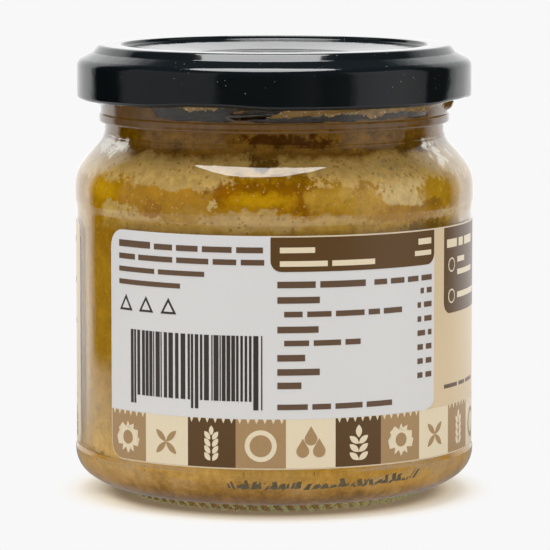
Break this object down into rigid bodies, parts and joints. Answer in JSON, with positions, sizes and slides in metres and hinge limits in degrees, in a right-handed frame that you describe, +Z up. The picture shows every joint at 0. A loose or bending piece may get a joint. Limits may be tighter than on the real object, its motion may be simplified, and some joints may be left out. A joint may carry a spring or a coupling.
{
  "type": "mushroom spread jar",
  "caption": "Glass jar of mushroom spread with a twist-off steel lid and a paper label round its waist.",
  "frame": {"origin": "middle of the ring that the jar stands on", "axes": "+Z up along the jar's axis; -Y is the front, where the label's panel of small print is"},
  "size_m": [0.0672, 0.0672, 0.0756],
  "materials": {
    "clear_glass": "clear, slightly green at its edges",
    "vegetable_spread": "oily, marbled ochre and cream",
    "label_paper": "coated paper, satin",
    "black_lacquer": "gloss lacquer"
  },
  "bodies": {
    "root": {"glass_jar": "clear_glass", "spread": "vegetable_spread", "label": "label_paper", "lid": "black_lacquer"}
  },
  "joints": []
}
